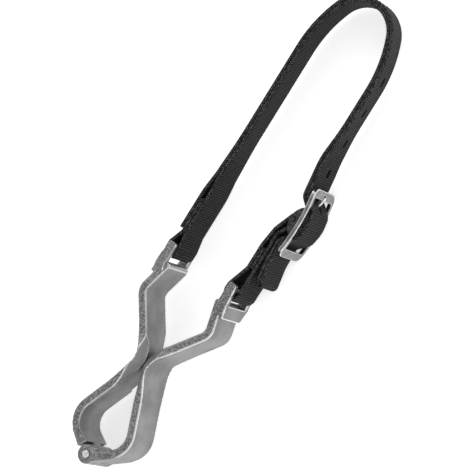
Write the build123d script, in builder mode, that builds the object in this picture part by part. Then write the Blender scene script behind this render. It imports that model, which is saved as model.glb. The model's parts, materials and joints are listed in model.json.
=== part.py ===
from build123d import *
from math import atan2, cos, degrees, radians, sin, tan
import os

# Hinged two-arm clamp with a buckled double-ply strap. Millimetres.
# The hinge pin stands along Z at the origin, +Y runs from the hinge to the top of the strap,
# +X towards the right arm. The lowest faces lie at Z = 0.

# Webbing width, which the strap loops, the arms and the buckle are made for
strap_width = 25.4

# Arms: cast strips on edge, a mirrored pair
arm_inset = 2.2
arm_thickness = 5.6
left_root_thickness = 8.0
right_root_thickness = 10.4
root_taper_length = 19.0
waist_height = 70.0
waist_gap = 0.6
waist_radius = 16.0
lower_lean = 22.8
lower_span = 60.0
belly_radius = 15.0
upper_lean = 36.8
upper_span = 44.9
elbow_radius = 8.0
tip_lean = 15.3
tip_span = 23.4
tip_round = 2.4
flare_rise = 4.6
flare_length = 46.0
flare_bevel = 5.4
flare_bevel_lean = 17.0

# Hinge: the left arm's tongue turns between the right arm's two ears
knuckle_radius = 6.3
pin_radius = 2.1
pin_fit = 0.05
ear_width = 10.0
knuckle_side_gap = 0.2
knuckle_end_gap = 0.9
pin_head_radius = 2.5
pin_head_height = 1.3
pin_tail_height = 0.8
pin_head_gap = 0.1

# Strap loops at the arm tips, placed from the end of the arm's centreline
cheek_thickness = 4.0
cheek_side_clearance = 0.2
foot_inset = 3.2
cheek_reach = 13.0
cheek_overlap = 10.0
flare_drop = 1.5
sill_drop = 1.0
cheek_inner_offset = 0.5
cheek_base_depth = 7.6
cheek_top_depth = 5.7
bar_rise = 8.0
bar_offset = 3.7
bar_radius = 2.5

# Webbing, measured from the bars in the strap loops
ply = 2.4
left_leg_offset = 0.2
right_leg_offset = 4.3
strap_reach = 196.9
shoulder_drop = 30.5
shoulder_lean = 22.0
left_loop_clearance = 0.3
left_neck_length = 13.5
left_lap_length = 28.0
lap_gap = 0.05
hole_width = 3.6
hole_length = 6.6
hole_pitch = 21.8
first_hole_rise = 9.5
hole_count = 4
stitch_width = 0.7
stitch_height = 0.3
stitch_inset = 2.6

# Buckle
buckle_side_gap = 0.6
buckle_start = 34.5
buckle_length = 48.0
buckle_thickness = 3.0
rail_width = 3.2
end_bar_width = 6.0
buckle_corner = 5.5
buckle_offset = 13.7
buckle_bow = 3.1
buckle_tilt = 1.3
centre_bar_drop = 7.0
centre_bar_radius = 1.6
flange_thickness = 1.5
flange_inset = 1.2
flange_reach = 11.0
flange_edge = 0.5
tongue_width = 2.6
tongue_thickness = 2.2
tongue_ring_radius = 3.2
tongue_fit = 0.05
tongue_notch_depth = 1.2
tongue_slot_width = 3.6
outer_slot_length = 10.0
inner_slot_length = 9.5
inner_slot_drop = 3.5
chape_clearance = 0.1
strap_rise_clearance = 0.4
end_bar_clearance = 0.4
tail_length = 21.0

# Short strap between the buckle and the right arm
short_strap_clearance = 1.2
short_neck_length = 15.5
short_lap_length = 19.0
merge_drop = 11.0
merge_offset = 0.7
lap_clearance = 0.15
chape_lean = 29.0

# Heights
loop_width = strap_width + 2 * (cheek_thickness + cheek_side_clearance)
mid_z = loop_width / 2
arm_bottom = arm_inset
arm_top = loop_width - arm_inset
strap_bottom = mid_z - strap_width / 2
flare_top = arm_top + flare_rise
tongue_bottom = arm_bottom + ear_width + knuckle_side_gap
tongue_top = arm_top - ear_width - knuckle_side_gap

# Arm centreline, right side
waist_turn = (lower_lean + upper_lean) / 2
waist_tilt = (upper_lean - lower_lean) / 2
waist_reach = waist_radius * (cos(radians(waist_tilt)) / cos(radians(waist_turn)) - 1)
waist_x = waist_gap / 2 + arm_thickness / 2 - waist_reach
belly = (
    waist_x + lower_span * sin(radians(lower_lean)),
    waist_height - lower_span * cos(radians(lower_lean)),
)
elbow = (
    waist_x + upper_span * sin(radians(upper_lean)),
    waist_height + upper_span * cos(radians(upper_lean)),
)
tip = (
    elbow[0] - tip_span * sin(radians(tip_lean)),
    elbow[1] + tip_span * cos(radians(tip_lean)),
)
root_direction = Vector(*belly).normalized()
root_angle = Vector(1, 0).get_angle(root_direction)

# Strap loops, right side
cheek_inner = tip[0] + cheek_inner_offset
cheek_outer_base = cheek_inner + cheek_base_depth
cheek_outer_top = cheek_inner + cheek_top_depth
cheek_base = tip[1] - cheek_overlap
cheek_top = tip[1] + cheek_reach
cheek_flare_height = tip[1] - flare_drop
window_sill = tip[1] - sill_drop
bar_x = tip[0] + bar_offset
bar_height = tip[1] + bar_rise

# Strap and buckle
left_leg = -bar_x - left_leg_offset
right_leg = bar_x + right_leg_offset
strap_top = bar_height + strap_reach
shoulder_height = strap_top - shoulder_drop
left_loop_neck = bar_height + left_neck_length
left_lap_end = left_loop_neck + left_lap_length
buckle_width = strap_width + 2 * (rail_width + buckle_side_gap)
buckle_bottom = bar_height + buckle_start
buckle_top = buckle_bottom + buckle_length
buckle_top_x = bar_x + buckle_offset
buckle_middle_x = buckle_top_x + buckle_bow
buckle_bottom_x = buckle_top_x + buckle_tilt
centre_bar_x = buckle_middle_x - centre_bar_drop
centre_bar_y = (buckle_bottom + buckle_top) / 2
tail_end = buckle_bottom - tail_length
first_hole = buckle_top + first_hole_rise
short_strap_neck = bar_height + short_neck_length
short_strap_lap_end = short_strap_neck + short_lap_length
short_strap_merge = centre_bar_y - merge_drop

# Strap centreline
bend_x = (left_leg + right_leg) / 2
shoulder_run = (strap_top - shoulder_height) * tan(radians(shoulder_lean))
top_run = bend_x - left_leg - shoulder_run
top_radius = 0.97 * top_run / tan(radians((90 - shoulder_lean) / 2))
shoulder_tangent = (strap_top - shoulder_height) / cos(radians(shoulder_lean)) - top_run
shoulder_radius = 0.93 * shoulder_tangent / tan(radians(shoulder_lean / 2))


def parallel(points, radii, distance):
    """Corners and radii of the route that runs the given distance to the left of another."""
    steps = [(Vector(*b) - Vector(*a)).normalized() for a, b in zip(points, points[1:])]
    sides = [Vector(-step.Y, step.X) for step in steps]
    corners = [Vector(*points[0]) + sides[0] * distance]
    new_radii = []
    for i, radius in enumerate(radii):
        before, after = sides[i], sides[i + 1]
        miter = (before + after) / (1 + before.dot(after))
        corners.append(Vector(*points[i + 1]) + miter * distance)
        turns_left = steps[i].cross(steps[i + 1]).Z > 0
        new_radii.append(radius - distance if turns_left else radius + distance)
    corners.append(Vector(*points[-1]) + sides[-1] * distance)
    return [(corner.X, corner.Y) for corner in corners], new_radii


def ribbon(points, radii, thickness):
    """Flat section of a strip that follows a route of straight runs and arcs."""
    with BuildSketch() as section:
        with BuildLine():
            ends = []
            for distance in (thickness / 2, -thickness / 2):
                corners, corner_radii = parallel(points, radii, distance)
                if corner_radii:
                    FilletPolyline(*corners, radius=corner_radii)
                else:
                    Line(*corners)
                ends.append((corners[0], corners[-1]))
            Line(ends[0][0], ends[1][0])
            Line(ends[0][1], ends[1][1])
        make_face()
    return section.sketch


def lay_ribbon(points, radii, thickness, bottom, height):
    """Adds a ribbon on edge, from the height bottom upwards, to the part being built."""
    section = Pos(0, 0, bottom) * ribbon(points, radii, thickness)
    extrude(section, amount=height)


def lay_band(points, radii, thickness, bottom, height):
    """Adds an endless ribbon whose corners are given anticlockwise."""
    with BuildSketch(Plane.XY.offset(bottom)) as section:
        for distance, mode in ((-thickness / 2, Mode.ADD), (thickness / 2, Mode.SUBTRACT)):
            closed = [*points, points[0], points[1]]
            corners, corner_radii = parallel(closed, [*radii[1:], radii[0]], distance)
            with BuildLine():
                FilletPolyline(*corners[1:-1], radius=corner_radii, close=True)
            make_face(mode=mode)
    extrude(section.sketch, amount=height)


def arm_strip(side, root_thickness):
    """The cast strip of one arm, with its waist flare. side is -1 for left, 1 for right."""
    centreline = [(0, 0), belly, waist, elbow, tip]
    points = [(side * x, y) for x, y in centreline]
    across = Vector(-root_direction.Y, root_direction.X)
    root_end = root_direction * root_taper_length
    corners = [
        across * (root_thickness / 2),
        root_end + across * (arm_thickness / 2),
        root_end - across * (arm_thickness / 2),
        across * (-root_thickness / 2),
    ]
    with BuildPart() as strip:
        with BuildSketch():
            with BuildLine():
                FilletPolyline(*points, radius=[belly_radius, waist_radius, elbow_radius])
            trace(line_width=arm_thickness)
            with BuildLine():
                Polyline(*[(side * c.X, c.Y) for c in corners], close=True)
            make_face()
        extrude(amount=flare_top)
        tip_edges = strip.edges().filter_by(Axis.Z).group_by(Axis.Y)[-2:]
        fillet([edge for group in tip_edges for edge in group], tip_round)
        flare_start = waist_height - 3.5 - flare_length / 2
        flare_end = flare_start + flare_length
        flare_middle = (flare_start + flare_end) / 2
        far_y = cheek_top + 20
        near_y = -30
        with BuildSketch(Plane.YZ) as side_view:
            with BuildLine():
                Line((near_y, arm_top), (flare_start, arm_top))
                Spline(
                    (flare_start, arm_top),
                    (flare_middle, flare_top),
                    (flare_end, arm_top),
                    tangents=[(1, 0), (1, 0)],
                )
                Polyline((flare_end, arm_top), (far_y, arm_top), (far_y, arm_bottom), (flare_end, arm_bottom))
                Spline(
                    (flare_end, arm_bottom),
                    (flare_middle, 0),
                    (flare_start, arm_bottom),
                    tangents=[(-1, 0), (-1, 0)],
                )
                Polyline((flare_start, arm_bottom), (near_y, arm_bottom), (near_y, arm_top))
            make_face()
        extrude(amount=2 * cheek_outer_base, both=True, mode=Mode.INTERSECT)
        inner = waist_gap / 2
        bevel_x = inner + flare_bevel
        bevel_z = 1.3 * flare_bevel
        for turn in (1, -1):
            with BuildSketch(Plane.XZ.offset(-flare_middle)) as bevels:
                with BuildLine():
                    Polyline(
                        (side * (inner - 3), flare_top - bevel_z),
                        (side * inner, flare_top - bevel_z),
                        (side * bevel_x, flare_top),
                        (side * bevel_x, flare_top + 1),
                        (side * (inner - 3), flare_top + 1),
                        close=True,
                    )
                make_face()
                with BuildLine():
                    Polyline(
                        (side * (inner - 3), bevel_z),
                        (side * inner, bevel_z),
                        (side * bevel_x, 0),
                        (side * bevel_x, -1),
                        (side * (inner - 3), -1),
                        close=True,
                    )
                make_face()
            bevel_lean = radians(flare_bevel_lean)
            along = (side * sin(bevel_lean), turn * cos(bevel_lean), 0)
            extrude(bevels.sketch, dir=along, amount=flare_length / 2, mode=Mode.SUBTRACT)
    return strip.part


def strap_loop(side):
    """The window at an arm's tip: two cheeks, a sill and the bar that the webbing goes round."""
    with BuildPart() as loop:
        with BuildSketch():
            with BuildLine():
                Polyline(
                    (side * cheek_inner, cheek_base),
                    (side * cheek_inner, cheek_top),
                    (side * cheek_outer_top, cheek_top),
                    (side * cheek_outer_base, cheek_base),
                    close=True,
                )
            make_face()
        extrude(amount=loop_width)
        fillet(loop.edges().filter_by(Axis.Z).group_by(Axis.Y)[-1], 1.5)
        with BuildSketch(Plane.YZ):
            with BuildLine():
                Polyline(
                    (cheek_base, foot_inset),
                    (cheek_base, loop_width - foot_inset),
                    (cheek_flare_height, loop_width),
                    (cheek_top + 1, loop_width),
                    (cheek_top + 1, 0),
                    (cheek_flare_height, 0),
                    close=True,
                )
            make_face()
        extrude(amount=2 * cheek_outer_base, both=True, mode=Mode.INTERSECT)
        with BuildSketch(Plane.YZ):
            with Locations((window_sill + 10, mid_z)):
                Rectangle(20, loop_width - 2 * cheek_thickness)
        extrude(amount=2 * cheek_outer_base, both=True, mode=Mode.SUBTRACT)
        with BuildSketch(Plane.XY.offset(1)):
            with Locations((side * bar_x, bar_height)):
                Circle(bar_radius)
        extrude(amount=loop_width - 2)
    return loop.part


def knuckle_zone(reach, angle, bottom, top, mode):
    """A block across the hinge that reaches the given distance along an arm's root."""
    with BuildSketch(Plane.XY.offset(bottom)) as zone:
        Rectangle(2 * reach, 4 * knuckle_radius, rotation=angle)
    extrude(zone.sketch, amount=top - bottom, mode=mode)


def disc(radius, bottom, top, centre=(0, 0), mode=Mode.ADD):
    """A round boss or hole along Z."""
    with BuildSketch(Plane.XY.offset(bottom)) as round_face:
        with Locations(centre):
            Circle(radius)
    extrude(round_face.sketch, amount=top - bottom, mode=mode)


pieces = {}


def save(piece, name):
    """Keeps a finished piece under the name of its node."""
    piece.label = name
    pieces[name] = piece


waist = (waist_x, waist_height)
shoulder_reach = knuckle_radius + knuckle_end_gap

# Left arm: strip, strap loop and the hinge tongue
left_strip = arm_strip(-1, left_root_thickness)
left_loop = strap_loop(-1)
with BuildPart() as left_arm:
    add(left_strip)
    add(left_loop)
    for bottom, top in ((-1, tongue_bottom), (tongue_top, flare_top)):
        knuckle_zone(shoulder_reach, -root_angle, bottom, top, Mode.SUBTRACT)
    disc(knuckle_radius, tongue_bottom, tongue_top)
    disc(pin_radius + pin_fit, tongue_bottom, tongue_top, mode=Mode.SUBTRACT)
save(left_arm.part, "left_arm")

# Right arm: strip, strap loop and the two hinge ears
right_strip = arm_strip(1, right_root_thickness)
right_loop = strap_loop(1)
ear_bottom = arm_bottom + ear_width
ear_top = arm_top - ear_width
with BuildPart() as right_arm:
    add(right_strip)
    add(right_loop)
    knuckle_zone(shoulder_reach, root_angle, ear_bottom, ear_top, Mode.SUBTRACT)
    for bottom, top in ((arm_bottom, ear_bottom), (ear_top, arm_top)):
        disc(knuckle_radius, bottom, top)
    disc(pin_radius + pin_fit, arm_bottom, arm_top, mode=Mode.SUBTRACT)
save(right_arm.part, "right_arm")

# Hinge pin: domed head on top, low formed head underneath
with BuildPart() as hinge_pin:
    disc(pin_radius, arm_bottom - pin_head_gap, arm_top + pin_head_gap)
    disc(pin_head_radius, arm_top + pin_head_gap, arm_top + pin_head_gap + pin_head_height)
    fillet(hinge_pin.edges().group_by(Axis.Z)[-1], 0.9 * pin_head_height)
    disc(pin_head_radius, arm_bottom - pin_head_gap - pin_tail_height, arm_bottom - pin_head_gap)
    fillet(hinge_pin.edges().group_by(Axis.Z)[0], 0.7 * pin_tail_height)
save(hinge_pin.part, "hinge_pin")

# Strap routes: centreline corners from the left arm up, round the bend and down to the tail
left_route = [
    (left_leg, left_lap_end + 14),
    (left_leg, shoulder_height),
    (left_leg + shoulder_run, strap_top),
    (bend_x, strap_top),
]
left_radii = [shoulder_radius, top_radius]
rise_x = centre_bar_x + centre_bar_radius + chape_clearance + ply + strap_rise_clearance + ply
peak_radius = 9.0
peak_x = rise_x + 1.5
under_top_x = buckle_top_x - buckle_thickness - ply - end_bar_clearance
under_bottom_x = buckle_bottom_x - buckle_thickness - ply - end_bar_clearance
upper_dip_y = buckle_top - end_bar_width - 2
lower_dip_y = buckle_bottom + end_bar_width + 2
right_route = [
    (bend_x, strap_top),
    (right_leg - shoulder_run, strap_top),
    (right_leg, shoulder_height),
    (right_leg, buckle_top + 18),
    (under_top_x, upper_dip_y),
    (peak_x, centre_bar_y),
    (under_bottom_x, lower_dip_y),
    (under_bottom_x + 0.4, tail_end + 14),
    (under_bottom_x + 3.1, tail_end),
]
right_radii = [top_radius, shoulder_radius, 60, 10, peak_radius, 10, 30]

# Left half of the strap: outer ply with a square cut end, inner ply that goes round the bar
leg_top = left_lap_end + 14
outer_left, outer_left_radii = parallel(left_route, left_radii, ply / 2)
spread = ply + lap_gap
outer_left = [
    (left_leg - spread, left_loop_neck + 1.5),
    (left_leg - spread, left_lap_end),
    (left_leg - ply / 2, leg_top),
] + outer_left[1:]
outer_left_radii = [60, 60] + outer_left_radii
with BuildPart() as strap_outer_ply_left:
    lay_ribbon(outer_left, outer_left_radii, ply, strap_bottom, strap_width)
save(strap_outer_ply_left.part, "strap_outer_ply_left")

inner_left, inner_left_radii = parallel(left_route, left_radii, -ply / 2)
loop_turn = bar_radius + left_loop_clearance + ply / 2
loop_low = bar_height - loop_turn
inner_left = [
    (left_leg, left_lap_end - 4),
    (left_leg, left_loop_neck),
    (-bar_x - loop_turn, bar_height + 4),
    (-bar_x - loop_turn, loop_low),
    (-bar_x + loop_turn, loop_low),
    (-bar_x + loop_turn, bar_height + 4),
    (left_leg + spread, left_loop_neck),
    (left_leg + spread, left_lap_end),
    (left_leg + ply / 2, leg_top),
] + inner_left[1:]
loop_radius = 0.97 * loop_turn
inner_left_radii = [6, 3, loop_radius, loop_radius, 3, 6, 60, 60] + inner_left_radii
with BuildPart() as strap_inner_ply_left:
    lay_ribbon(inner_left, inner_left_radii, ply, strap_bottom, strap_width)
save(strap_inner_ply_left.part, "strap_inner_ply_left")

# Right half of the strap: two plies through the buckle, folded over at the tail
outer_right, outer_right_radii = parallel(right_route, right_radii, ply / 2)
inner_right, inner_right_radii = parallel(right_route, right_radii, -ply / 2)
tail_direction = (Vector(*right_route[-1]) - Vector(*right_route[-2])).normalized()


def punch_holes(tongue_start, tongue_end):
    """Oblong holes up the leg, and the longer one that the buckle's tongue is in."""
    hole_centres = [first_hole + hole_pitch * i for i in range(hole_count)]
    with BuildSketch(Plane.YZ.offset(right_leg - 4 * ply)) as holes:
        with Locations(*[(y, mid_z) for y in hole_centres]):
            SlotOverall(hole_length, hole_width)
    extrude(holes.sketch, amount=10 * ply, mode=Mode.SUBTRACT)
    with BuildSketch(Plane.YZ.offset(centre_bar_x - 4)) as slot:
        with Locations(((tongue_start + tongue_end) / 2, mid_z)):
            SlotOverall(tongue_end - tongue_start, tongue_slot_width)
    extrude(slot.sketch, amount=12, mode=Mode.SUBTRACT)


with BuildPart() as strap_outer_ply_right:
    lay_ribbon(outer_right, outer_right_radii, ply, strap_bottom, strap_width)
    punch_holes(upper_dip_y - outer_slot_length, upper_dip_y)
    fold_end = Vector(*right_route[-1])
    before_fold = fold_end - tail_direction * ply
    tail_angle = degrees(atan2(tail_direction.Y, tail_direction.X))
    with BuildSketch(Plane.XY.offset(strap_bottom)) as fold:
        with Locations((fold_end.X, fold_end.Y)):
            Circle(ply)
        with Locations((before_fold.X, before_fold.Y)):
            Rectangle(2 * ply, 4 * ply, rotation=tail_angle, mode=Mode.SUBTRACT)
    extrude(fold.sketch, amount=strap_width)
save(strap_outer_ply_right.part, "strap_outer_ply_right")

with BuildPart() as strap_inner_ply_right:
    lay_ribbon(inner_right, inner_right_radii, ply, strap_bottom, strap_width)
    punch_holes(upper_dip_y - inner_slot_drop - inner_slot_length, upper_dip_y - inner_slot_drop)
save(strap_inner_ply_right.part, "strap_inner_ply_right")

# Buckle frame: a bowed plate with a window, flanges for the centre bar and a notch for the tongue
with BuildPart() as buckle_frame:
    with BuildSketch():
        with BuildLine():
            for shift in (0, -buckle_thickness):
                ThreePointArc(
                    (buckle_bottom_x + shift, buckle_bottom),
                    (buckle_middle_x + shift, centre_bar_y),
                    (buckle_top_x + shift, buckle_top),
                )
            Line((buckle_bottom_x, buckle_bottom), (buckle_bottom_x - buckle_thickness, buckle_bottom))
            Line((buckle_top_x, buckle_top), (buckle_top_x - buckle_thickness, buckle_top))
        make_face()
    extrude(amount=loop_width)
    frame_middle = (buckle_bottom + buckle_top) / 2
    frame_length = buckle_top - buckle_bottom
    with BuildSketch(Plane.YZ):
        with Locations((frame_middle, mid_z)):
            RectangleRounded(frame_length, buckle_width, buckle_corner)
    extrude(amount=2 * buckle_middle_x, mode=Mode.INTERSECT)
    window_width = buckle_width - 2 * rail_width
    with BuildSketch(Plane.YZ):
        with Locations((frame_middle, mid_z)):
            RectangleRounded(frame_length - 2 * end_bar_width, window_width, 1.2)
    extrude(amount=2 * buckle_middle_x, mode=Mode.SUBTRACT)
    fillet(buckle_frame.edges().filter_by(GeomType.CIRCLE).filter_by(lambda e: e.length > 20), 0.7)
    flange_x = centre_bar_x - centre_bar_radius - flange_edge
    flange_drop = buckle_bow * (2 * flange_reach / buckle_length) ** 2
    flange_side_x = buckle_middle_x - buckle_thickness / 2 - flange_drop
    flange_height = buckle_width / 2 - flange_inset - flange_thickness
    for z in (mid_z - flange_height - flange_thickness, mid_z + flange_height):
        with BuildSketch(Plane.XY.offset(z)) as flange:
            with BuildLine():
                lower = (flange_side_x, centre_bar_y - flange_reach)
                upper = (flange_side_x, centre_bar_y + flange_reach)
                ThreePointArc(lower, (flange_x, centre_bar_y), upper)
                Line(upper, lower)
            make_face()
        extrude(flange.sketch, amount=flange_thickness)
    disc(centre_bar_radius, 0, loop_width, (centre_bar_x, centre_bar_y), Mode.SUBTRACT)
    notch_x = buckle_top_x - tongue_notch_depth
    with BuildSketch(Plane.XZ.offset(-(buckle_top - end_bar_width - 2))) as notch:
        with Locations((notch_x + 2 * tongue_thickness, mid_z)):
            Rectangle(4 * tongue_thickness, tongue_width + 0.6)
    extrude(notch.sketch, amount=-(end_bar_width - 0.5), mode=Mode.SUBTRACT)
save(buckle_frame.part, "buckle_frame")

with BuildPart() as buckle_centre_bar:
    bar_reach = buckle_width / 2 - 0.4
    disc(centre_bar_radius, mid_z - bar_reach, mid_z + bar_reach, (centre_bar_x, centre_bar_y))
save(buckle_centre_bar.part, "buckle_centre_bar")

# Tongue: a ring round the centre bar and a rod that rests in the frame's notch
tongue_tip = (notch_x + tongue_thickness / 2 + 0.1, buckle_top - 3.4)
tongue_bend = buckle_top - end_bar_width - 1
tongue_knee = centre_bar_y + 0.59 * (tongue_bend - centre_bar_y)
with BuildPart() as buckle_tongue:
    with BuildSketch(Plane.XY.offset(mid_z - tongue_width / 2)) as tongue_side:
        with BuildLine():
            FilletPolyline(
                (centre_bar_x, centre_bar_y),
                (notch_x - 0.9, tongue_knee),
                (tongue_tip[0], tongue_bend),
                tongue_tip,
                radius=[12, 12],
            )
        trace(line_width=tongue_thickness)
        with Locations((centre_bar_x, centre_bar_y)):
            Circle(tongue_ring_radius)
            Circle(centre_bar_radius + tongue_fit, mode=Mode.SUBTRACT)
    extrude(tongue_side.sketch, amount=tongue_width)
    fillet(buckle_tongue.edges().group_by(Axis.Y)[-1], 0.8)
save(buckle_tongue.part, "buckle_tongue")

# Short strap: one length of webbing, looped round the buckle's centre bar and the right arm's bar
bar_loop = bar_radius + short_strap_clearance + ply / 2
chape_loop = centre_bar_radius + chape_clearance + ply / 2


def turned(centre, along, across, angle):
    """A point given along and across a direction that leans the given angle from +Y towards +X."""
    lean = radians(angle)
    x = centre[0] + along * sin(lean) + across * cos(lean)
    y = centre[1] + along * cos(lean) - across * sin(lean)
    return (x, y)


centre_bar = (centre_bar_x, centre_bar_y)
short_spread = ply + lap_gap
lap_x = under_bottom_x - ply - lap_clearance - stitch_height - ply / 2 - short_spread
merge_x = lap_x + merge_offset
merge_spread = ply / 2 + 2 * lap_gap
band = [
    (lap_x - short_spread, short_strap_neck + 2),
    (bar_x - bar_loop, bar_height + 3),
    (bar_x - bar_loop, bar_height - bar_loop),
    (bar_x + bar_loop, bar_height - bar_loop),
    (bar_x + bar_loop, bar_height + 3),
    (lap_x + short_spread, short_strap_neck + 2),
    (lap_x + short_spread, short_strap_lap_end),
    (merge_x + merge_spread, short_strap_merge - 2.5),
    turned(centre_bar, 0, chape_loop, chape_lean),
    turned(centre_bar, chape_loop, chape_loop, chape_lean),
    turned(centre_bar, chape_loop, -chape_loop, chape_lean),
    turned(centre_bar, 0, -chape_loop, chape_lean),
    (merge_x - merge_spread, short_strap_merge),
    (lap_x - short_spread, short_strap_lap_end),
]
bar_bend = 0.97 * bar_loop
chape_bend = 0.88 * chape_loop
band_radii = [8, 3, bar_bend, bar_bend, 3, 8, 8, 4, 3, chape_bend, chape_bend, 3, 4, 8]
with BuildPart() as short_strap:
    lay_band(band, band_radii, ply, strap_bottom, strap_width)
    with BuildSketch(Plane.XY.offset(mid_z - tongue_slot_width / 2)) as chape_slot:
        with Locations(turned(centre_bar, chape_loop, 0, chape_lean)):
            Rectangle(6 * chape_loop, 2 * (chape_loop + tongue_ring_radius + 0.6), rotation=-chape_lean)
    extrude(chape_slot.sketch, amount=tongue_slot_width, mode=Mode.SUBTRACT)
save(short_strap.part, "short_strap")

with BuildPart() as short_strap_lap:
    lay_ribbon(
        [(lap_x, short_strap_neck + 3), (lap_x, short_strap_lap_end - 1)], [], ply, strap_bottom, strap_width
    )
save(short_strap_lap.part, "short_strap_lap")


def stitch(outline, radii, rows, outwards):
    """Rows of thread along one side of a strap, each row a low ribbon on the outer face."""
    corners, corner_radii = parallel(outline, radii, outwards)
    for row in rows:
        lay_ribbon(corners, corner_radii, stitch_height, row - stitch_width / 2, stitch_width)


# Stitching: two rows near the webbing's edges, on both faces
rows = (strap_bottom + stitch_inset, strap_bottom + strap_width - stitch_inset)
on_ply = ply / 2 + stitch_height / 2
with BuildPart() as strap_stitching_left:
    stitch(outer_left, outer_left_radii, rows, on_ply)
    inner_face = inner_left[7:]
    stitch(inner_face, inner_left_radii[7:], rows, -on_ply)
save(strap_stitching_left.part, "strap_stitching_left")

seam_end = (Vector(*right_route[3]) + Vector(*right_route[4])) / 2
seam = [*right_route[:4], (seam_end.X, seam_end.Y)]
with BuildPart() as strap_stitching_right:
    for side in (1, -1):
        stitch(seam, right_radii[:3], rows, side * (ply + stitch_height / 2))
save(strap_stitching_right.part, "strap_stitching_right")

with BuildPart() as short_strap_stitching:
    for side in (1, -1):
        x = lap_x + side * (short_spread + on_ply)
        for row in rows:
            lay_ribbon(
                [(x, short_strap_neck + 5), (x, short_strap_lap_end - 1)],
                [],
                stitch_height,
                row - stitch_width / 2,
                stitch_width,
            )
save(short_strap_stitching.part, "short_strap_stitching")

# Each piece is written with the origin under the middle of the whole
boxes = [piece.bounding_box() for piece in pieces.values()]
middle_x = (min(box.min.X for box in boxes) + max(box.max.X for box in boxes)) / 2
middle_y = (min(box.min.Y for box in boxes) + max(box.max.Y for box in boxes)) / 2
os.makedirs("parts", exist_ok=True)
for name, piece in pieces.items():
    export_step(piece.moved(Location((-middle_x, -middle_y, 0))), f"parts/{name}.step")
lowest = min(box.min.Z for box in boxes)
print("hinge axis at", round(-middle_x, 3), round(-middle_y, 3), "lowest", round(lowest, 3))
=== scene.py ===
import json
from math import acos, cos, pi, radians, sin, sqrt, tan
import bmesh
import bpy
from mathutils import Matrix, Vector


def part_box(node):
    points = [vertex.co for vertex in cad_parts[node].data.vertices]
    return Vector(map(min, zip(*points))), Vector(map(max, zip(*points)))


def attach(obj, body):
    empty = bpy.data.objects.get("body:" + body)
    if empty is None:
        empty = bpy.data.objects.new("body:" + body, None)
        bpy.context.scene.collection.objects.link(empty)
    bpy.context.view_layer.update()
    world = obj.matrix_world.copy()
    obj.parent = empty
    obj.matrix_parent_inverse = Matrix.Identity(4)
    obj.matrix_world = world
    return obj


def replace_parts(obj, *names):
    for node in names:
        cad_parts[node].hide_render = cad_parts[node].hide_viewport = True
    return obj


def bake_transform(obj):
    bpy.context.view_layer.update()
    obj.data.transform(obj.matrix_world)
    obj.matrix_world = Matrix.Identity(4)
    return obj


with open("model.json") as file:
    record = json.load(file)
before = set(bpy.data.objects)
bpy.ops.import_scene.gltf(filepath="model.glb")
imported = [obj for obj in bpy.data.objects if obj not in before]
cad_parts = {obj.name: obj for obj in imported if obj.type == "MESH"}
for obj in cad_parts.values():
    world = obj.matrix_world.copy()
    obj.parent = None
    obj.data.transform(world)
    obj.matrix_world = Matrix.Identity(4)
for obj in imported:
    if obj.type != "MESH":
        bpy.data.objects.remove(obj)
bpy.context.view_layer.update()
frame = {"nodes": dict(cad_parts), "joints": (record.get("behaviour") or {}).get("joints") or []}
joints = {joint["name"]: joint for joint in frame["joints"]}
hinge = Vector(joints["arm_hinge"]["pos_m"])
mm = 0.001


def fromHinge(name):
    # a joint's place in millimetres from the hinge pin
    apart = (Vector(joints[name]["pos_m"]) - hinge) / mm
    return apart.x, apart.y


class Wire:
    # a socket in a material's tree that can be used in sums
    def __init__(self, tree, socket=None):
        self.tree = tree
        self.socket = socket

    def node(self, kind, settings=None, inputs=None, out=0):
        made = self.tree.nodes.new(kind)
        for name, value in (settings or {}).items():
            if name == "stops":
                stops = made.color_ramp.elements
                while len(stops) < len(value):
                    stops.new(0.5)
                for stop, (spot, tone) in zip(stops, value):
                    stop.position = spot
                    stop.color = (tone, tone, tone, 1)
            else:
                setattr(made, name, value)
        for name, value in (inputs or {}).items():
            if isinstance(value, Wire):
                self.tree.links.new(value.socket, made.inputs[name])
            else:
                made.inputs[name].default_value = value
        return Wire(self.tree, made.outputs[out])

    def math(self, operation, *values):
        return self.node("ShaderNodeMath", {"operation": operation}, dict(enumerate(values)))

    def __add__(self, other):
        return self.math("ADD", self, other)

    def __radd__(self, other):
        return self.math("ADD", other, self)

    def __sub__(self, other):
        return self.math("SUBTRACT", self, other)

    def __rsub__(self, other):
        return self.math("SUBTRACT", other, self)

    def __mul__(self, other):
        return self.math("MULTIPLY", self, other)

    def __rmul__(self, other):
        return self.math("MULTIPLY", other, self)

    def __abs__(self):
        return self.math("ABSOLUTE", self)

    def ramp(self, low, high, start=0.0, end=1.0):
        # start below low, end above high, smooth between
        limits = {"Value": self, "From Min": low, "From Max": high, "To Min": start, "To Max": end}
        return self.node("ShaderNodeMapRange", {"interpolation_type": "SMOOTHSTEP"}, limits)

    def noise(self, scale, detail=3.0, rough=0.55):
        inputs = {"Vector": self, "Scale": scale, "Detail": detail, "Roughness": rough}
        return self.node("ShaderNodeTexNoise", None, inputs)

    def blend(self, first, second):
        # self is the share of the second colour, and the first may be a mix already
        under = first if isinstance(first, Wire) else (*first, 1)
        inputs = {0: self, 6: under, 7: (*second, 1)}
        return self.node("ShaderNodeMix", {"data_type": "RGBA"}, inputs, out=2)

    def fold(self):
        # rises from 0 to 1 and falls again in each whole number
        return self.math("PINGPONG", self, 0.5) * 2.0

    def bump(self, distance, strength=1.0):
        inputs = {"Height": self, "Distance": distance, "Strength": strength}
        return self.node("ShaderNodeBump", None, inputs)


def makeMaterial(name, look, fixed):
    made = bpy.data.materials.new(name)
    made.use_nodes = True
    shader = made.node_tree.nodes["Principled BSDF"]
    for socket, value in fixed.items():
        shader.inputs[socket].default_value = value
    for socket, wire in look(Wire(made.node_tree)).items():
        made.node_tree.links.new(wire.socket, shader.inputs[socket])
    return made


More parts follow.
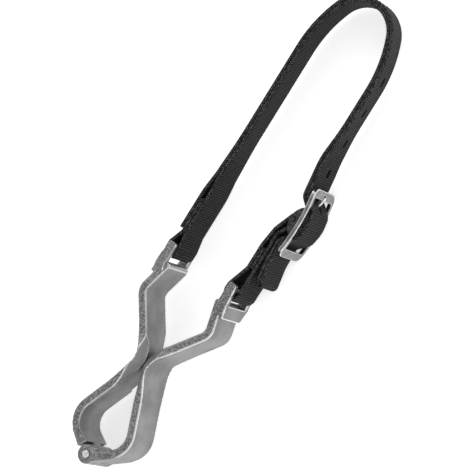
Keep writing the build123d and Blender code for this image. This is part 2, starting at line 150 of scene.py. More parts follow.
castValues = {
    "dark": (0.075, 0.075, 0.076),
    "light": (0.40, 0.40, 0.403),
    # the colour of the brightened edges: wear where the metal stands out, and a painted highlight
    "worn": (0.86, 0.86, 0.86),
    "grain": 1700.0,
    "mottle": 800.0,
    "cloud": 45.0,
    "satinTones": (0.32, 0.55, 0.30, 0.10, 0.16),  # plain, and added by the painted highlight on the bevels, clouds, speckle and grain
    "skinTones": (0.14, 0.12, 0.60, 0.25),  # plain, and added by clouds, speckle and grain
    "rough": (0.44, 0.08, 0.08, 0.24, 0.06),  # plain, speckle, skin, less on the brightened edges, grain
    "dullEdge": 0.85,  # share of the bright edge that a bevel loses
    "hingeInner": 0.022,  # metres from the pin's middle where the brightened edges begin
    "hingeOuter": 0.030,
    "bumpDepth": 0.00014,
    "bumpStrength": 0.7,
}


def castLook(wire):
    place = wire.node("ShaderNodeTexCoord", out="Object")
    normal = wire.node("ShaderNodeTexCoord", out="Normal")
    upright = abs(wire.node("ShaderNodeSeparateXYZ", None, {"Vector": normal}, out="Z"))
    rightwards = wire.node("ShaderNodeSeparateXYZ", None, {"Vector": normal}, out="X")
    flatSide = upright.ramp(0.75, 0.97)  # the narrow faces that keep the rough casting skin
    worn = wire.node("ShaderNodeAttribute", {"attribute_name": "worn"}, out="Fac")
    grain = place.noise(castValues["grain"], 4.0, 0.65)
    mottle = place.noise(castValues["mottle"], 4.0, 0.6)
    cloud = place.noise(castValues["cloud"], 2.0)
    speckle = mottle.ramp(0.46, 0.60)
    litBevel = upright.ramp(0.42, 0.56) * (1 - upright.ramp(0.66, 0.8))  # the bevels at the waist, painted lighter as a highlight
    toPin = {0: place, 1: tuple(hinge)}
    fromPin = wire.node("ShaderNodeVectorMath", {"operation": "DISTANCE"}, toPin, out="Value")
    plain, bevelHighlight, clouds, speckles, grains = castValues["satinTones"]
    satin = plain + litBevel * bevelHighlight + cloud.ramp(0.32, 0.68) * clouds
    satin = satin + speckle * speckles + grain.ramp(0.4, 0.62) * grains
    plain, clouds, speckles, grains = castValues["skinTones"]
    skin = plain + cloud.ramp(0.3, 0.7) * clouds + speckle * speckles + grain.ramp(0.44, 0.60) * grains
    tone = satin * (1 - flatSide) + skin * flatSide
    base = tone.blend(castValues["dark"], castValues["light"])
    highlightSide = rightwards.ramp(0.0, 0.45, 0.22, 1.0)  # painted highlight: the edges on faces turned rightwards are brightened most
    # the brightened edges: wear where the casting stands out, and a painted highlight on the side that
    # faces right
    edge = worn.ramp(0.35, 0.85) * highlightSide * cloud.ramp(0.25, 0.5, 0.7, 1.0)
    pastHinge = fromPin.ramp(castValues["hingeInner"], castValues["hingeOuter"], 0.2, 1.0)
    edge = edge * pastHinge * (1 - litBevel * castValues["dullEdge"])
    plain, speckles, skins, edges, grains = castValues["rough"]
    rough = plain + speckle * speckles + flatSide * skins - edge * edges + grain * grains
    height = grain * (0.35 + flatSide * 0.65) + mottle * (0.4 + flatSide * 1.6)
    relief = height.bump(castValues["bumpDepth"], castValues["bumpStrength"])
    return {"Base Color": edge.blend(base, castValues["worn"]), "Roughness": rough, "Normal": relief}


plateValues = {
    "dark": (0.15, 0.15, 0.152),
    "light": (0.31, 0.31, 0.313),
    # the colour of the brightened edges: wear, and painted highlight lines along the rails
    "worn": (0.92, 0.92, 0.92),
    "scratch": 1800.0,
    "stretch": (0.25, 0.08, 1.0),  # draws the scratches out along the frame
    "cloud": 220.0,
    "tones": (0.6, 0.4),  # shares of the clouds and the scratches
    "rough": (0.20, 0.08, 0.06, 0.08),  # plain, clouds, scratches, less on the brightened edges
    "bumpDepth": 0.00003,
    "bumpStrength": 0.5,
}


def plateLook(wire):
    place = wire.node("ShaderNodeTexCoord", out="Object")
    stretch = {"Vector": place, "Scale": plateValues["stretch"]}
    along = wire.node("ShaderNodeMapping", {"vector_type": "POINT"}, stretch)
    lines = along.noise(plateValues["scratch"], 3.0, 0.7)
    cloud = place.noise(plateValues["cloud"], 3.0)
    clouds, scratches = plateValues["tones"]
    tone = cloud.ramp(0.35, 0.65) * clouds + lines * scratches
    worn = wire.node("ShaderNodeAttribute", {"attribute_name": "worn"}, out="Fac")
    # the brightened edges: wear, and painted highlight lines along the rails
    edge = worn.ramp(0.3, 0.85)
    base = tone.blend(plateValues["dark"], plateValues["light"])
    plain, clouds, scratches, edges = plateValues["rough"]
    rough = plain + cloud.ramp(0.3, 0.7) * clouds + lines * scratches - edge * edges
    relief = lines.bump(plateValues["bumpDepth"], plateValues["bumpStrength"])
    return {"Base Color": edge.blend(base, plateValues["worn"]), "Roughness": rough, "Normal": relief}


pinValues = {
    "dark": (0.62, 0.62, 0.625),
    "light": (0.88, 0.88, 0.88),
    "cloud": 500.0,
    "detail": 3.0,
    "rough": 0.26,
}
# painted shade: a darker plate for the buckle's flanges, set back under the rails
flangeShadeValues = {
    "dark": (0.040, 0.040, 0.041),
    "light": (0.085, 0.085, 0.086),
    "cloud": 400.0,
    "detail": 4.0,
    "rough": 0.42,
}
steelFinish = {"roughCloud": 0.12, "bumpDepth": 0.00004, "bumpStrength": 0.6}


def steelLook(values):
    # plain metal looks, which differ in tone and polish only: the steel pin and tongue, and the darker
    # plate with painted shade
    def look(wire):
        place = wire.node("ShaderNodeTexCoord", out="Object")
        cloud = place.noise(values["cloud"], values["detail"])
        base = cloud.ramp(0.35, 0.65).blend(values["dark"], values["light"])
        rough = values["rough"] + cloud * steelFinish["roughCloud"]
        relief = cloud.bump(steelFinish["bumpDepth"], steelFinish["bumpStrength"])
        return {"Base Color": base, "Roughness": rough, "Normal": relief}

    return look


weaveValues = {
    "dark": (0.003, 0.003, 0.0033),
    "light": (0.16, 0.16, 0.163),
    "yarn": 0.95,
    "fleck": 900.0,
    "rimStart": 1.1,  # from the webbing's side in to where the rim's finish begins
    "rimFull": 0.5,
    "faceSheenTones": (0.12, 0.26),  # painted sheen on the rib crests: plain, and added by flecks
    "rimSheenTones": (0.04, 0.05, 0.9),  # painted sheen on the rim's yarns: between the yarns, on the yarns, and added there by flecks
    "rough": (0.72, 0.14),  # plain, and less on the light yarns
    "bumpDepth": 0.00025,
    "bumpStrength": 0.9,
}


def weaveLook(wire):
    flat = {"Vector": wire.node("ShaderNodeAttribute", {"attribute_name": "flat"}, out="Vector")}
    along = wire.node("ShaderNodeSeparateXYZ", None, flat, out="X")  # counted in ribs
    across = wire.node("ShaderNodeSeparateXYZ", None, flat, out="Y")
    through = wire.node("ShaderNodeSeparateXYZ", None, flat, out="Z")
    place = wire.node("ShaderNodeTexCoord", out="Object")
    half = webbing["width"] / 2
    rim = abs(across).ramp(half - weaveValues["rimStart"], half - weaveValues["rimFull"])
    rib = along.fold()
    thread = (across * (1 / weaveValues["yarn"])).fold()
    chevron = (along + abs(through) * 0.9 + across * 0.35).fold()
    fleck = place.noise(weaveValues["fleck"], 3.0, 0.7)
    onFace = rib.ramp(0.3, 0.95) * (0.55 + thread.ramp(0.1, 0.7) * 0.45)
    onRim = chevron.ramp(0.45, 0.75) * 0.5 + fleck.ramp(0.50, 0.58) * 0.5
    height = onFace * (1 - rim) + onRim * rim
    # the lighter tone on rib crests and rim yarns is a painted sheen on the black webbing
    plain, flecks = weaveValues["faceSheenTones"]
    onFaceSheen = onFace * (plain + fleck.ramp(0.40, 0.62) * flecks)
    between, plain, flecks = weaveValues["rimSheenTones"]
    onRimSheen = between + chevron.ramp(0.4, 0.72) * (plain + fleck.ramp(0.46, 0.56) * flecks)
    tone = onFaceSheen * (1 - rim) + onRimSheen * rim
    base = tone.blend(weaveValues["dark"], weaveValues["light"])
    plain, light = weaveValues["rough"]
    relief = (height + fleck * 0.35).bump(weaveValues["bumpDepth"], weaveValues["bumpStrength"])
    return {"Base Color": base, "Roughness": plain - tone * light, "Normal": relief}


threadValues = {
    "dark": (0.010, 0.010, 0.011),
    "light": (0.045, 0.045, 0.046),
    "twist": 700.0,
    "distortion": 1.0,
    "rough": (0.62, 0.12),  # in the twist's grooves, and less on its strands
    "bumpDepth": 0.00008,
    "bumpStrength": 0.6,
}


def threadLook(wire):
    place = wire.node("ShaderNodeTexCoord", out="Object")
    wave = {"Vector": place, "Scale": threadValues["twist"], "Distortion": threadValues["distortion"]}
    twist = wire.node("ShaderNodeTexWave", {"bands_direction": "DIAGONAL"}, wave)
    base = twist.blend(threadValues["dark"], threadValues["light"])
    groove, strand = threadValues["rough"]
    relief = twist.bump(threadValues["bumpDepth"], threadValues["bumpStrength"])
    return {"Base Color": base, "Roughness": groove - twist * strand, "Normal": relief}


floorValues = {"dark": (0.93, 0.93, 0.93), "light": (0.95, 0.95, 0.95), "cloud": 3.0, "glow": 0.55}


def floorLook(wire):
    place = wire.node("ShaderNodeTexCoord", out="Object")
    cloud = place.noise(floorValues["cloud"], 2.0)
    return {"Base Color": cloud.blend(floorValues["dark"], floorValues["light"])}


class Route:
    # straight runs joined by arcs, in millimetres from the hinge pin
    def __init__(self, corners, radii):
        points = [Vector(corner) for corner in corners]
        self.parts = []
        self.length = 0.0
        start = points[0]
        for i, radius in enumerate(radii):
            before = (points[i + 1] - points[i]).normalized()
            after = (points[i + 2] - points[i + 1]).normalized()
            turn = acos(max(-1, min(1, before.dot(after))))
            side = 1 if before.x * after.y - before.y * after.x > 0 else -1
            reach = radius * tan(turn / 2)
            self.addPart(start, before, (points[i + 1] - before * reach - start).length, 0)
            start = points[i + 1] - before * reach
            self.addPart(start, before, radius * turn, side / radius)
            start = points[i + 1] + after * reach
        last = (points[-1] - points[-2]).normalized()
        self.addPart(start, last, (points[-1] - start).length, 0)

    def addPart(self, start, direction, length, curve):
        self.parts.append((self.length, start, direction, curve))
        self.length += length

    def at(self, travel):
        # point and direction after a length of travel
        for part in reversed(self.parts):
            if travel >= part[0] or part is self.parts[0]:
                break
        begun, start, direction, curve = part
        rest = travel - begun
        if curve == 0:
            return start + direction * rest, direction
        angle = rest * curve
        side = Vector((-direction.y, direction.x))
        moved = (direction * sin(angle) + side * (1 - cos(angle))) / curve
        return start + moved, direction * cos(angle) + side * sin(angle)

    def nearest(self, point, steps=2000):
        target = Vector(point)
        tries = [self.length * i / steps for i in range(steps + 1)]
        return min(tries, key=lambda travel: (self.at(travel)[0] - target).length)


def parallel(corners, radii, distance):
    # corners and radii of the route that runs beside another, to its left
    points = [Vector(corner) for corner in corners]
    steps = [(b - a).normalized() for a, b in zip(points, points[1:])]
    sides = [Vector((-step.y, step.x)) for step in steps]
    moved = [points[0] + sides[0] * distance]
    newRadii = []
    for i, radius in enumerate(radii):
        before, after = sides[i], sides[i + 1]
        moved.append(points[i + 1] + (before + after) / (1 + before.dot(after)) * distance)
        toLeft = steps[i].x * steps[i + 1].y - steps[i].y * steps[i + 1].x > 0
        newRadii.append(radius - distance if toLeft else radius + distance)
    moved.append(points[-1] + sides[-1] * distance)
    return [tuple(point) for point in moved], newRadii


def inFrame(point, height):
    # from millimetres about the hinge pin to metres in the shared frame
    return Vector((hinge.x + point.x * mm, hinge.y + point.y * mm, height * mm))


def makeObject(name, bm, material):
    mesh = bpy.data.meshes.new(name)
    bmesh.ops.recalc_face_normals(bm, faces=bm.faces)
    bm.to_mesh(mesh)
    bm.free()
    made = bpy.data.objects.new(name, mesh)
    bpy.context.scene.collection.objects.link(made)
    mesh.materials.append(material)
    mesh.polygons.foreach_set("use_smooth", [True] * len(mesh.polygons))
    return made


webbing = {
    "width": 25.4,
    "ply": 2.4,
    "rib": 1.5,
    "ribHeight": 0.26,
    "samples": 4,
    "columns": 17,
    "rimWidth": 0.8,
    "rimColumns": 4,
    "rimFullness": 0.62,
    "rimBump": 0.2,
    "rimShift": 1.2,  # sets the bumps of one face's rim off from the other's
    "slotRibHeight": 0.06,  # the ribs are pressed flat round a slot
    "slotMargin": 1.0,
    "slotSide": 3.0,
    "tailRound": 3.6,
    "tailSide": 5.0,  # only the tail lies further right than this from the centre bar
    "seam": 0.02,
}
strapLean = {
    "left": 7.0,  # degrees, at the left and right legs
    "right": 9.5,
    "halfSpan": 30.0,
    "leftFade": (180.0, 225.0),  # a leg turns from upright to leaning between these places along it
    "rightFade": (228.0, 262.0),
}
lowZ, highZ = (corner.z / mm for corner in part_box("strap_outer_ply_left"))
middleZ = (lowZ + highZ) / 2


def columnPlaces():
    half = webbing["width"] / 2
    inner = half - webbing["rimWidth"]
    flat = [-inner + 2 * inner * i / (webbing["columns"] - 1) for i in range(webbing["columns"])]
    rim = []
    for i in range(1, webbing["rimColumns"] + 1):
        rim.append(inner + webbing["rimWidth"] * sin(pi / 2 * i / webbing["rimColumns"]))
    return [-x for x in reversed(rim)] + flat + rim


def leanedX(x, y, height):
    # the free strap is twisted a little about its length
    share = max(0.0, min(1.0, (x + strapLean["halfSpan"]) / (2 * strapLean["halfSpan"])))
    angle = strapLean["left"] + (strapLean["right"] - strapLean["left"]) * share
    start, end = strapLean["leftFade"] if x < 0 else strapLean["rightFade"]
    fade = max(0.0, min(1.0, (y - start) / (end - start)))
    fade = fade * fade * (3 - 2 * fade)
    return x + tan(radians(angle)) * fade * (height - middleZ)


def onRoute(route, along, across, out):
    # a point of the webbing: along and across it, and out to the left of its middle
    point, direction = route.at(along)
    point = point + Vector((-direction.y, direction.x)) * out
    height = middleZ + across
    return inFrame(Vector((leanedX(point.x, point.y, height), point.y)), height)


def cutSlots(bm, slots):
    for along, length, width in slots:
        core = (length - width) / 2

        def fromSlot(co):
            near = Vector((max(along - core, min(along + core, co.x)), 0, 0))
            return co - near, near

        def isInside(face):
            return fromSlot(face.calc_center_median())[0].length < width / 2

        inside = [face for face in bm.faces if isInside(face)]
        edges = {edge for face in inside for edge in face.edges}
        rim = [edge for edge in edges if not all(face in inside for face in edge.link_faces)]
        corners = {vert for edge in rim for vert in edge.verts}
        for vert in corners:
            away, near = fromSlot(vert.co)
            vert.co = near + away.normalized() * (width / 2)
        bmesh.ops.delete(bm, geom=inside, context="FACES")


def nearSlot(along, across, slots):
    if abs(across) >= webbing["slotSide"]:
        return False
    return any(abs(along - slot[0]) < slot[1] / 2 + webbing["slotMargin"] for slot in slots)


def layWebbing(name, route, slots=(), closed=False, tailY=None):
    samples = webbing["samples"]
    ribs = round(route.length / webbing["rib"])
    rows = ribs * samples
    step = route.length / rows
    places = columnPlaces()
    half = webbing["width"] / 2
    inner = half - webbing["rimWidth"]
    bm = bmesh.new()
    bmesh.ops.create_grid(bm, x_segments=rows, y_segments=len(places) - 1, size=0.5)
    for vert in bm.verts:
        column = round((vert.co.y + 0.5) * (len(places) - 1))
        vert.co = Vector(((vert.co.x + 0.5) * route.length, places[column], 0))
    cutSlots(bm, slots)
    bmesh.ops.solidify(bm, geom=bm.faces[:], thickness=1.0)
    levels = [vert.co.z for vert in bm.verts]
    middle = (max(levels) + min(levels)) / 2
    flat = bm.verts.layers.float_vector.new("flat")
    for vert in bm.verts:
        along, across = vert.co.x, vert.co.y
        face = 1 if vert.co.z > middle else -1
        past = max(0.0, abs(across) - inner) / webbing["rimWidth"]
        body = sqrt(max(0.0, 1 - webbing["rimFullness"] * past * past))
        rib = along / (samples * step)
        wave = abs(sin(pi * rib))
        ribHeight = webbing["slotRibHeight"] if nearSlot(along, across, slots) else webbing["ribHeight"]
        out = face * (webbing["ply"] / 2 * body - ribHeight * (1 - wave) * (1 - past))
        wobble = webbing["rimBump"] * past * (sin(2 * pi * rib + face * webbing["rimShift"]) - 1) / 2
        side = 1 if across > 0 else -1
        spot = route.at(along)[0]
        onTail = tailY is not None and spot.x > centreBarX - webbing["tailSide"]
        if onTail and spot.y < tailY + webbing["tailRound"]:  # rounds the tail's corners
            past = 1 - max(0.0, spot.y - tailY) / webbing["tailRound"]
            across *= 1 - webbing["tailRound"] * (1 - sqrt(1 - past * past)) / half
        vert[flat] = (rib, across, out)
        vert.co = onRoute(route, along, across + side * wobble, out)
    if closed:
        bmesh.ops.remove_doubles(bm, verts=bm.verts[:], dist=webbing["seam"] * mm)
    return makeObject(name, bm, weave)


# the webbing's routes have the same sizes as the CAD pieces, in millimetres
barX, barY = (abs(value) for value in fromHinge("strap_pivot"))
centreBarX, centreBarY = fromHinge("tongue_pivot")
bendX, bendY = fromHinge("strap_bend")
ply = webbing["ply"]
strap = {
    "threadHeight": 0.3,
    "leftOffset": 0.2,
    "rightOffset": 4.3,
    "shoulderDrop": 30.5,
    "shoulderLean": 22.0,
    "leftClearance": 0.3,
    "leftNeck": 13.5,
    "leftLap": 28.0,
    "lapGap": 0.05,
    "closeRun": 14.0,  # above the lap, where the plies come together
    "closeRadius": 60,
    "outerEnd": 1.5,  # above the neck, where the outer ply is cut
    "innerEnd": 4.0,  # below the lap's end, where the inner ply is cut
    "loopOpen": 4.0,  # above the bar, where the loop is at its widest
    "foldSlack": 0.01,
    "neckRadii": [6, 3],  # where a loop opens from its neck, and beside its bar
    "barRadius": 2.5,
    "centreBarRadius": 1.6,
    "buckleLength": 48.0,
    "buckleOffset": 3.9,
    "buckleTilt": 1.3,
    "buckleRun": 18.0,  # above the buckle, where the strap turns in under it
    "endBar": 6.0,
    "dipInset": 2.0,
    "buckleThickness": 3.0,
    "endBarClearance": 0.4,
    "chapeClearance": 0.1,
    "archClearance": 0.4,
    "archRise": 1.5,
    "archDrop": 1.6,
    "archReach": 9.0,
    "tailLength": 21.0,
    "tailBend": 14.0,
    "tailOut": (0.4, 3.1),
    "chapeLean": 29.0,
    "topFullness": 0.97,  # shares of the largest radius that fits
    "shoulderFullness": 0.93,
    "loopFullness": 0.97,
    "chapeFullness": 0.88,
    "bendReach": 0.018,  # metres each side of the bend over which the webbing flexes
}
strapTop = bendY - ply - strap["threadHeight"]
leftLeg = -barX - strap["leftOffset"]
rightLeg = barX + strap["rightOffset"]
shoulderY = strapTop - strap["shoulderDrop"]
shoulderRun = strap["shoulderDrop"] * tan(radians(strap["shoulderLean"]))
topRun = bendX - leftLeg - shoulderRun
topRadius = strap["topFullness"] * topRun / tan(radians((90 - strap["shoulderLean"]) / 2))
shoulderTangent = strap["shoulderDrop"] / cos(radians(strap["shoulderLean"])) - topRun
shoulderRadius = strap["shoulderFullness"] * shoulderTangent / tan(radians(strap["shoulderLean"] / 2))
buckleTop = centreBarY + strap["buckleLength"] / 2
buckleBottom = centreBarY - strap["buckleLength"] / 2
buckleTopX = centreBarX + strap["buckleOffset"]
buckleBottomX = buckleTopX + strap["buckleTilt"]
chapeX = centreBarX + strap["centreBarRadius"] + strap["chapeClearance"] + ply
peakX = chapeX + strap["archClearance"] + ply + strap["archRise"]
underTopX = buckleTopX - strap["buckleThickness"] - ply - strap["endBarClearance"]
underBottomX = buckleBottomX - strap["buckleThickness"] - ply - strap["endBarClearance"]
upperDipY = buckleTop - strap["endBar"] - strap["dipInset"]
lowerDipY = buckleBottom + strap["endBar"] + strap["dipInset"]
enterY = buckleTop + strap["buckleRun"]
tailEnd = buckleBottom - strap["tailLength"]
neckY = barY + strap["leftNeck"]
lapEndY = neckY + strap["leftLap"]
legTop = lapEndY + strap["closeRun"]
centreLine = [
    (leftLeg, legTop),
    (leftLeg, shoulderY),
    (leftLeg + shoulderRun, strapTop),
    (rightLeg - shoulderRun, strapTop),
    (rightLeg, shoulderY),
    (rightLeg, enterY),
    (underTopX, upperDipY),
    (peakX - strap["archDrop"], centreBarY + strap["archReach"]),
    (peakX, centreBarY),
    (peakX - strap["archDrop"], centreBarY - strap["archReach"]),
    (underBottomX, lowerDipY),
    (underBottomX + strap["tailOut"][0], tailEnd + strap["tailBend"]),
    (underBottomX + strap["tailOut"][1], tailEnd),
]
buckleRadii = [60, 5, 5, 20, 5, 5, 30]  # from the leg through the buckle to the tail
centreRadii = [shoulderRadius, topRadius, topRadius, shoulderRadius] + buckleRadii
closeRadii = [strap["closeRadius"], strap["closeRadius"]]
spread = ply + strap["lapGap"]


def outerRoute():
    corners, radii = parallel(centreLine, centreRadii, ply / 2)
    inner = parallel(centreLine, centreRadii, -ply / 2)[0]
    last = (Vector(corners[-1]) - Vector(corners[-2])).normalized()
    fold = last * (ply / 2)
    cut = (leftLeg - spread, neckY + strap["outerEnd"])
    start = [cut, (leftLeg - spread, lapEndY), (leftLeg - ply / 2, legTop)]
    end = [tuple(Vector(corners[-1]) + fold), tuple(Vector(inner[-1]) + fold), inner[-1]]
    foldRadius = ply / 2 - strap["foldSlack"]
    return Route(start + corners[1:-1] + end, closeRadii + radii + [foldRadius, foldRadius])


def innerRoute():
    corners, radii = parallel(centreLine, centreRadii, -ply / 2)
    turn = strap["barRadius"] + strap["leftClearance"] + ply / 2
    low = barY - turn
    start = [
        (leftLeg, lapEndY - strap["innerEnd"]),
        (leftLeg, neckY),
        (-barX - turn, barY + strap["loopOpen"]),
        (-barX - turn, low),
        (-barX + turn, low),
        (-barX + turn, barY + strap["loopOpen"]),
        (leftLeg + spread, neckY),
        (leftLeg + spread, lapEndY),
        (leftLeg + ply / 2, legTop),
    ]
    barBend = strap["loopFullness"] * turn
    loopRadii = strap["neckRadii"] + [barBend, barBend] + strap["neckRadii"][::-1]
    return Route(start + corners[1:], loopRadii + closeRadii + radii)


shortStrap = {
    "clearance": 1.2,
    "neck": 15.5,
    "lap": 19.0,
    "mergeDrop": 11.0,
    "lapClearance": 0.15,
    "mergeOffset": 0.7,
    "mergeSlant": 2.5,  # the far layer comes in this much lower than the near one
    "loopOpen": 3.0,
    "neckOpen": 2.0,
    "lapEnds": (3.0, 1.0),  # from the neck, and from the lap's end
    "tongueSlot": (11.0, 4.0),  # length and width
}
lapX = underBottomX - ply - shortStrap["lapClearance"] - strap["threadHeight"] - ply / 2 - spread
shortNeckY = barY + shortStrap["neck"]
shortLapEndY = shortNeckY + shortStrap["lap"]


def turned(along, across):
    # a point beside the buckle's centre bar, where the short strap leans
    lean = radians(strap["chapeLean"])
    x = centreBarX + along * sin(lean) + across * cos(lean)
    return x, centreBarY + along * cos(lean) - across * sin(lean)


def bandRoute():
    barLoop = strap["barRadius"] + shortStrap["clearance"] + ply / 2
    chapeLoop = strap["centreBarRadius"] + strap["chapeClearance"] + ply / 2
    mergeX = lapX + shortStrap["mergeOffset"]
    mergeY = centreBarY - shortStrap["mergeDrop"]
    mergeSpread = ply / 2 + 2 * strap["lapGap"]
    start = (lapX - spread, (shortNeckY + shortLapEndY) / 2)
    corners = [
        start,
        (lapX - spread, shortNeckY + shortStrap["neckOpen"]),
        (barX - barLoop, barY + shortStrap["loopOpen"]),
        (barX - barLoop, barY - barLoop),
        (barX + barLoop, barY - barLoop),
        (barX + barLoop, barY + shortStrap["loopOpen"]),
        (lapX + spread, shortNeckY + shortStrap["neckOpen"]),
        (lapX + spread, shortLapEndY),
        (mergeX + mergeSpread, mergeY - shortStrap["mergeSlant"]),
        turned(0, chapeLoop),
        turned(chapeLoop, chapeLoop),
        turned(chapeLoop, -chapeLoop),
        turned(0, -chapeLoop),
        (mergeX - mergeSpread, mergeY),
        (lapX - spread, shortLapEndY),
        start,
    ]
    barBend = strap["loopFullness"] * barLoop
    chapeBend = strap["chapeFullness"] * chapeLoop
    # one radius for each corner between the ends
    radii = [8, 3, barBend, barBend, 3, 8, 8, 4, 3, chapeBend, chapeBend, 3, 4, 8]
    return Route(corners, radii), turned(chapeLoop, 0)


holes = {
    "count": 4,
    "pitch": 21.8,
    "rise": 9.5,
    "length": 6.6,
    "width": 3.6,
    "outerSlot": (7.2, -0.5),  # length and drop of the tongue's slot in each ply
    "innerSlot": (7.5, 0.5),
}


def strapSlots(route, tongueSlot):
    slots = []
    for i in range(holes["count"]):
        y = buckleTop + holes["rise"] + holes["pitch"] * i
        slots.append((route.nearest((rightLeg, y)), holes["length"], holes["width"]))
    length, drop = tongueSlot
    ends = []
    for y in (upperDipY - drop - length, upperDipY - drop):
        share = (y - centreBarY - strap["archReach"]) / (upperDipY - centreBarY - strap["archReach"])
        top = peakX - strap["archDrop"]
        ends.append(route.nearest((top + (underTopX - top) * share, y)))
    slots.append((sum(ends) / 2, abs(ends[0] - ends[1]), holes["width"]))
    return slots


cast = makeMaterial("cast metal", castLook, {"Metallic": 1.0})
plate = makeMaterial("nickel plate", plateLook, {"Metallic": 1.0})
pinSteel = makeMaterial("pin steel", steelLook(pinValues), {"Metallic": 1.0})
shadedPlate = makeMaterial("plate with painted shade", steelLook(flangeShadeValues), {"Metallic": 1.0})
weave = makeMaterial("black webbing", weaveLook, {"Specular IOR Level": 0.16})
thread = makeMaterial("black thread", threadLook, {})
floorFinish = {
    "Roughness": 0.9,
    "Specular IOR Level": 0.1,
    "Emission Color": (1, 1, 1, 1),
    "Emission Strength": floorValues["glow"],
}
paleFloor = makeMaterial("pale floor", floorLook, floorFinish)
print("materials made")

outer = outerRoute()
inner = innerRoute()
band, chapeTop = bandRoute()
tailSteps = 2000
lastTenth = range(tailSteps * 9 // 10, tailSteps + 1)
tailY = min(outer.at(outer.length * i / tailSteps)[0].y for i in lastTenth)
outerPly = layWebbing("outerPly", outer, strapSlots(outer, holes["outerSlot"]), tailY=tailY)
innerPly = layWebbing("innerPly", inner, strapSlots(inner, holes["innerSlot"]), tailY=tailY)
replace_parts(outerPly, "strap_outer_ply_left", "strap_outer_ply_right")
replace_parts(innerPly, "strap_inner_ply_left", "strap_inner_ply_right")
for piece in (outerPly, innerPly):
    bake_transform(piece)
bandTop = band.nearest(chapeTop)
shortBand = layWebbing("shortStrapBand", band, [(bandTop, *shortStrap["tongueSlot"])], closed=True)
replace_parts(shortBand, "short_strap")
lapStart, lapStop = shortStrap["lapEnds"]
lapRoute = Route([(lapX, shortNeckY + lapStart), (lapX, shortLapEndY - lapStop)], [])
shortLap = layWebbing("shortStrapLap", lapRoute)
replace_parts(shortLap, "short_strap_lap")
for piece in (shortBand, shortLap):
    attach(piece, "strap_right")
print("webbing laid")

stitching = {
    "pitch": 3.0,
    "length": 2.3,
    "width": 0.6,
    "height": 0.22,
    "inset": 2.6,
    "sink": 0.06,
    "outerStart": 6.0,  # below the lap's end
    "innerStart": 3.0,  # above the neck
    "shortEnds": (5.0, 1.0),  # from the short strap's neck, and from its lap's end
}


def layStitches(name, seams):
    # short stitches, each lying along a route on one face of the webbing
    bm = bmesh.new()
    row = webbing["width"] / 2 - stitching["inset"]
    for route, start, end, out in seams:
        count = int((end - start) / stitching["pitch"])
        for i in range(count):
            middle = start + (i + 0.5) * (end - start) / count
            for across in (-row, row):
                made = bmesh.ops.create_uvsphere(bm, u_segments=6, v_segments=4, radius=1.0)
                for vert in made["verts"]:
                    away = vert.co.copy()
                    along = middle + away.z * stitching["length"] / 2
                    beside = across + away.x * stitching["width"] / 2
                    vert.co = onRoute(route, along, beside, out + away.y * stitching["height"])
    return makeObject(name, bm, thread)


surface = ply / 2 - stitching["sink"]
outerStart = outer.nearest((leftLeg - spread, lapEndY - stitching["outerStart"]))
outerEnd = outer.nearest((rightLeg, enterY))
innerStart = inner.nearest((leftLeg + spread, neckY + stitching["innerStart"]))
innerEnd = inner.nearest((rightLeg, enterY))
strapSeams = [(outer, outerStart, outerEnd, surface), (inner, innerStart, innerEnd, -surface)]
strapStitches = layStitches("strapStitches", strapSeams)
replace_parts(strapStitches, "strap_stitching_left", "strap_stitching_right")
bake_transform(strapStitches)
lapLow = shortNeckY + stitching["shortEnds"][0]
lapHigh = shortLapEndY - stitching["shortEnds"][1]
farSeam = Route([(lapX + spread, lapLow), (lapX + spread, lapHigh)], [])
nearSeam = Route([(lapX - spread, lapLow), (lapX - spread, lapHigh)], [])
lapSeams = [(farSeam, 0.0, farSeam.length, -surface), (nearSeam, 0.0, nearSeam.length, surface)]
shortStitches = layStitches("shortStrapStitches", lapSeams)
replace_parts(shortStitches, "short_strap_stitching")
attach(shortStitches, "strap_right")
print("stitches sewn")

armCasting = {"voxel": 0.00052, "smoothing": 4, "standOutAt": 0.00003}
frameCasting = {
    "voxel": 0.00026,
    "smoothing": 8,
    "standOutAt": 0.00002,
    "flangeFace": 15.6,  # the flanges lie nearer than this to the middle height
    "flangeTurn": 0.5,
}
mergeDistance = 0.000002


def softened(name, node, material, values):
    # a copy of a CAD node with rounded edges, and how far each point stands out from its neighbours
    bm = bmesh.new()
    bm.from_mesh(frame["nodes"][node].data)
    bmesh.ops.remove_doubles(bm, verts=bm.verts[:], dist=mergeDistance)
    rough = makeObject(name + "Rough", bm, material)
    remesh = rough.modifiers.new("remesh", "REMESH")
    remesh.mode = "VOXEL"
    remesh.voxel_size = values["voxel"]
    smooth = rough.modifiers.new("smooth", "SMOOTH")
    smooth.iterations = values["smoothing"]
    smooth.factor = 0.5
    seen = rough.evaluated_get(bpy.context.evaluated_depsgraph_get())
    bm = bmesh.new()
    bm.from_mesh(seen.to_mesh())
    bpy.data.objects.remove(rough)
    bm.normal_update()
    # how far each point stands out, which sets the brightened edges: wear, and a painted highlight
    worn = bm.verts.layers.float.new("worn")
    for vert in bm.verts:
        around = [edge.other_vert(vert).co for edge in vert.link_edges]
        middle = sum(around, Vector()) / len(around)
        vert[worn] = max(0.0, min(1.0, (vert.co - middle).dot(vert.normal) / values["standOutAt"]))
    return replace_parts(makeObject(name, bm, material), node)


for side in ("left", "right"):
    casting = softened(f"{side}ArmCasting", f"{side}_arm", cast, armCasting)
    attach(casting, f"{side}_arm")
buckle = softened("buckleFrame", "buckle_frame", plate, frameCasting)
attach(buckle, "strap_right")
buckle.data.materials.append(shadedPlate)
# the flange faces take the darker plate as painted shade under the rails
for face in buckle.data.polygons:
    fromMiddle = abs(face.center.z / mm - middleZ)
    if abs(face.normal.z) > frameCasting["flangeTurn"] and fromMiddle < frameCasting["flangeFace"]:
        face.material_index = 1
print("castings rounded")

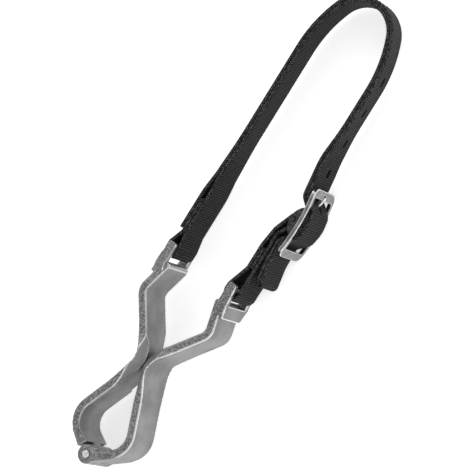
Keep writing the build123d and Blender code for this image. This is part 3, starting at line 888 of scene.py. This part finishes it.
# the centre bar, under the webbing, takes the same plate with painted shade
finishes = {"hinge_pin": pinSteel, "buckle_centre_bar": shadedPlate, "buckle_tongue": pinSteel}
for node, material in finishes.items():
    shown = frame["nodes"][node].data.materials
    shown.clear()
    shown.append(material)

floorSize = 4.0
bm = bmesh.new()
bmesh.ops.create_grid(bm, x_segments=1, y_segments=1, size=floorSize)
floor = makeObject("floor", bm, paleFloor)

lights = {
    "key": {"spot": (-0.9, 0.9, 1.1), "size": 0.6, "power": 5.0},
    "fill": {"spot": (1.2, -0.6, 1.2), "size": 1.2, "power": 2.0},
}


def addLight(name, spot, size, power):
    # a round soft light that points at the origin
    data = bpy.data.lights.new(name, "AREA")
    data.shape = "DISK"
    data.size = size
    data.energy = power
    made = bpy.data.objects.new(name, data)
    made.location = spot
    made.rotation_euler = (-Vector(spot)).to_track_quat("-Z", "Y").to_euler()
    bpy.context.scene.collection.objects.link(made)


for name, light in lights.items():
    addLight(name, **light)

# heights and strengths of the sky's light: it grows upwards, and falls again overhead
skyRamps = ((0.05, 0.55, 0.35, 0.95), (0.7, 1.0, 0.0, 0.35))
world = bpy.data.worlds.new("studio")
world.use_nodes = True
sky = Wire(world.node_tree)
toSky = sky.node("ShaderNodeTexCoord", out="Generated")
rise = sky.node("ShaderNodeSeparateXYZ", None, {"Vector": toSky}, out="Z")
glow = rise.ramp(*skyRamps[0]) - rise.ramp(*skyRamps[1])
background = world.node_tree.nodes["Background"]
world.node_tree.links.new(glow.socket, background.inputs["Strength"])
background.inputs["Color"].default_value = (1, 1, 1, 1)
bpy.context.scene.world = world

view = {
    "aim": (0.96, 165.1, 16.9),
    "right": (0.753, 0.525, -0.397),
    "back": (0.413, 0.0925, 0.906),
    "distance": 1.6,
    "scale": 1.60,
    "sensor": 36.0,
    "frameSide": 470,
}
camera = bpy.data.objects.new("camera", bpy.data.cameras.new("camera"))
bpy.context.scene.collection.objects.link(camera)
camera.data.sensor_width = view["sensor"]
camera.data.lens = view["scale"] * view["sensor"] * view["distance"] / mm / view["frameSide"]
back = Vector(view["back"]).normalized()
right = Vector(view["right"])
right = (right - back * right.dot(back)).normalized()
up = back.cross(right)
aim = inFrame(Vector(view["aim"][:2]), view["aim"][2])
turnMatrix = Matrix((right, up, back)).transposed().to_4x4()
camera.matrix_world = Matrix.Translation(aim + back * view["distance"]) @ turnMatrix
bpy.context.scene.camera = camera
bpy.context.scene.view_settings.view_transform = "Standard"

print("scene ready")
